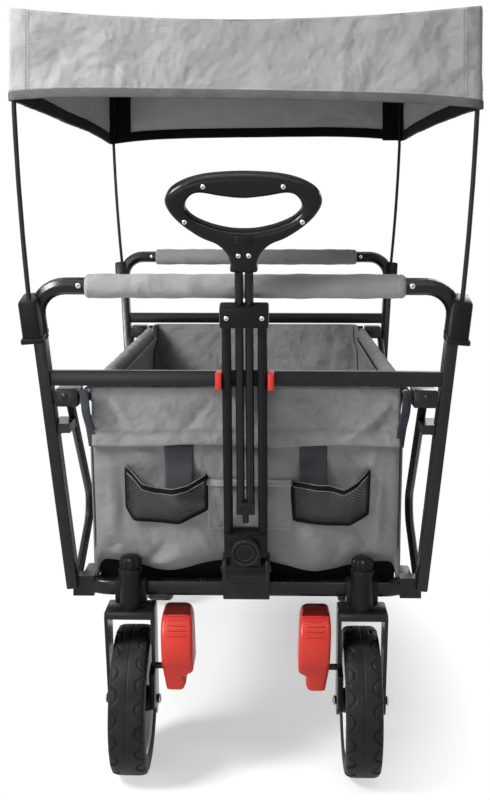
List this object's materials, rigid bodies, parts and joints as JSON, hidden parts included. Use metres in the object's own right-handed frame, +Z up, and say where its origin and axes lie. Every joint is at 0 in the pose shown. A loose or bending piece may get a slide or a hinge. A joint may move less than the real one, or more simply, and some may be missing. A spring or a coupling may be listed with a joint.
{
  "type": "folding wagon",
  "caption": "Folding hand wagon with a fabric tub, roof canopy on thin poles, telescopic pull handle, swivel front wheels with brake pedals and fixed rear wheels.",
  "frame": {"origin": "on the ground, under the middle of the whole wagon's length and width", "axes": "+X to the wagon's right seen from the front, +Y from the front (handle) to the rear, +Z up"},
  "size_m": [0.588, 1, 0.99],
  "materials": {
    "black_steel": "satin black powder coat",
    "black_plastic": "fine grain",
    "red_plastic": "satin red",
    "grey_fabric": "plain woven polyester",
    "tyre_rubber": "matt rubber with tread",
    "rim_plastic": "light grey moulded"
  },
  "bodies": {
    "front_end": {"front_frame": "black_steel", "front_lower_rail": "black_steel", "front_push_bar": "black_steel", "front_grip_sleeve": "grey_fabric", "front_socket_left": "black_plastic", "front_socket_right": "black_plastic", "front_bracket_left": "black_steel", "front_bracket_right": "black_steel", "front_stay_left": "black_steel", "front_stay_right": "black_steel", "caster_housing_left": "black_plastic", "caster_housing_right": "black_plastic", "handle_bracket": "black_steel", "handle_clip": "red_plastic", "bag_front_wall": "grey_fabric", "bag_side_left": "grey_fabric", "bag_side_right": "grey_fabric", "canopy_roof": "grey_fabric", "canopy_pole_front_left": "black_steel", "canopy_pole_front_right": "black_steel"},
    "base_front": {"base_frame_front": "black_steel", "floor_pad_front": "grey_fabric"},
    "base_rear": {"base_frame_rear": "black_steel", "floor_pad_rear": "grey_fabric"},
    "rear_end": {"rear_frame": "black_steel", "rear_lower_rail": "black_steel", "rear_push_bar": "black_steel", "rear_grip_sleeve": "grey_fabric", "rear_socket_left": "black_plastic", "rear_socket_right": "black_plastic", "rear_bracket_left": "black_steel", "rear_bracket_right": "black_steel", "rear_stay_left": "black_steel", "rear_stay_right": "black_steel", "bag_rear_wall": "grey_fabric", "rear_axle": "black_steel", "canopy_pole_rear_left": "black_steel", "canopy_pole_rear_right": "black_steel"},
    "side_rails_front": {"side_rail_front_left": "black_steel", "side_rail_front_right": "black_steel"},
    "side_rails_rear": {"side_rail_rear_left": "black_steel", "side_rail_rear_right": "black_steel"},
    "caster_left": {"fork_left": "black_steel"},
    "caster_right": {"fork_right": "black_steel"},
    "pedal_left": {"brake_pedal_left": "red_plastic"},
    "pedal_right": {"brake_pedal_right": "red_plastic"},
    "wheel_front_left": {"tyre_front_left": "tyre_rubber", "rim_front_left": "rim_plastic"},
    "wheel_front_right": {"tyre_front_right": "tyre_rubber", "rim_front_right": "rim_plastic"},
    "wheel_rear_left": {"tyre_rear_left": "tyre_rubber", "rim_rear_left": "rim_plastic"},
    "wheel_rear_right": {"tyre_rear_right": "tyre_rubber", "rim_rear_right": "rim_plastic"},
    "handle_outer": {"handle_outer_frame": "black_plastic", "handle_clamp": "black_plastic"},
    "handle_inner": {"handle_inner_frame": "black_steel", "handle_grip": "black_plastic"},
    "button": {"handle_button": "black_plastic"}
  },
  "joints": [
    {"name": "fold", "type": "hinge", "parent": "front_end", "child": "base_front", "pos_m": [0, -0.27175, 0.2445], "axis": [1, 0, 0], "range_deg": [0, 72], "deforming": ["canopy_roof", "bag_side_left", "bag_side_right"]},
    {"name": "base_centre", "type": "hinge", "parent": "base_front", "child": "base_rear", "pos_m": [0, 0.03325, 0.2445], "axis": [1, 0, 0], "range_deg": [-144, 0]},
    {"name": "rear_pivot", "type": "hinge", "parent": "base_rear", "child": "rear_end", "pos_m": [0, 0.33825, 0.2445], "axis": [1, 0, 0], "range_deg": [0, 72]},
    {"name": "side_rails_pivot", "type": "hinge", "parent": "front_end", "child": "side_rails_front", "pos_m": [0, -0.3753, 0.503], "axis": [1, 0, 0], "range_deg": [-61.3, 0]},
    {"name": "side_rails_centre", "type": "hinge", "parent": "side_rails_front", "child": "side_rails_rear", "pos_m": [0, 0.03325, 0.503], "axis": [1, 0, 0], "range_deg": [0, 122.6]},
    {"name": "swivel_left", "type": "hinge", "parent": "front_end", "child": "caster_left", "pos_m": [-0.15, -0.34275, 0.226], "axis": [0, 0, 1], "continuous": true},
    {"name": "swivel_right", "type": "hinge", "parent": "front_end", "child": "caster_right", "pos_m": [0.15, -0.34275, 0.226], "axis": [0, 0, 1], "continuous": true},
    {"name": "spin_front_left", "type": "hinge", "parent": "caster_left", "child": "wheel_front_left", "pos_m": [-0.15, -0.30774, 0.093], "axis": [1, 0, 0], "continuous": true},
    {"name": "spin_front_right", "type": "hinge", "parent": "caster_right", "child": "wheel_front_right", "pos_m": [0.15, -0.30774, 0.093], "axis": [1, 0, 0], "continuous": true},
    {"name": "spin_rear_left", "type": "hinge", "parent": "rear_end", "child": "wheel_rear_left", "pos_m": [-0.178, 0.38326, 0.093], "axis": [1, 0, 0], "continuous": true},
    {"name": "spin_rear_right", "type": "hinge", "parent": "rear_end", "child": "wheel_rear_right", "pos_m": [0.178, 0.38326, 0.093], "axis": [1, 0, 0], "continuous": true},
    {"name": "pedal_left_press", "type": "hinge", "parent": "caster_left", "child": "pedal_left", "pos_m": [-0.088, -0.32175, 0.142], "axis": [1, 0, 0], "range_deg": [0, 14]},
    {"name": "pedal_right_press", "type": "hinge", "parent": "caster_right", "child": "pedal_right", "pos_m": [0.088, -0.32175, 0.142], "axis": [1, 0, 0], "range_deg": [0, 14]},
    {"name": "handle_tilt", "type": "hinge", "parent": "front_end", "child": "handle_outer", "pos_m": [0, -0.34775, 0.278], "axis": [1, 0, 0], "range_deg": [0, 70]},
    {"name": "handle_extend", "type": "slide", "parent": "handle_outer", "child": "handle_inner", "axis": [0, -0.2672, 0.9636], "range_m": [0, 0.22]},
    {"name": "button_press", "type": "slide", "parent": "handle_inner", "child": "button", "axis": [0, 0.9636, 0.2672], "range_m": [0, 0.003], "stiffness_N_per_m": 400}
  ],
  "couplings": [
    {"joint": "base_centre", "follows": "fold", "ratio": -2},
    {"joint": "rear_pivot", "follows": "fold", "ratio": 1},
    {"joint": "side_rails_pivot", "follows": "fold", "ratio": -0.851},
    {"joint": "side_rails_centre", "follows": "fold", "ratio": 1.702}
  ]
}
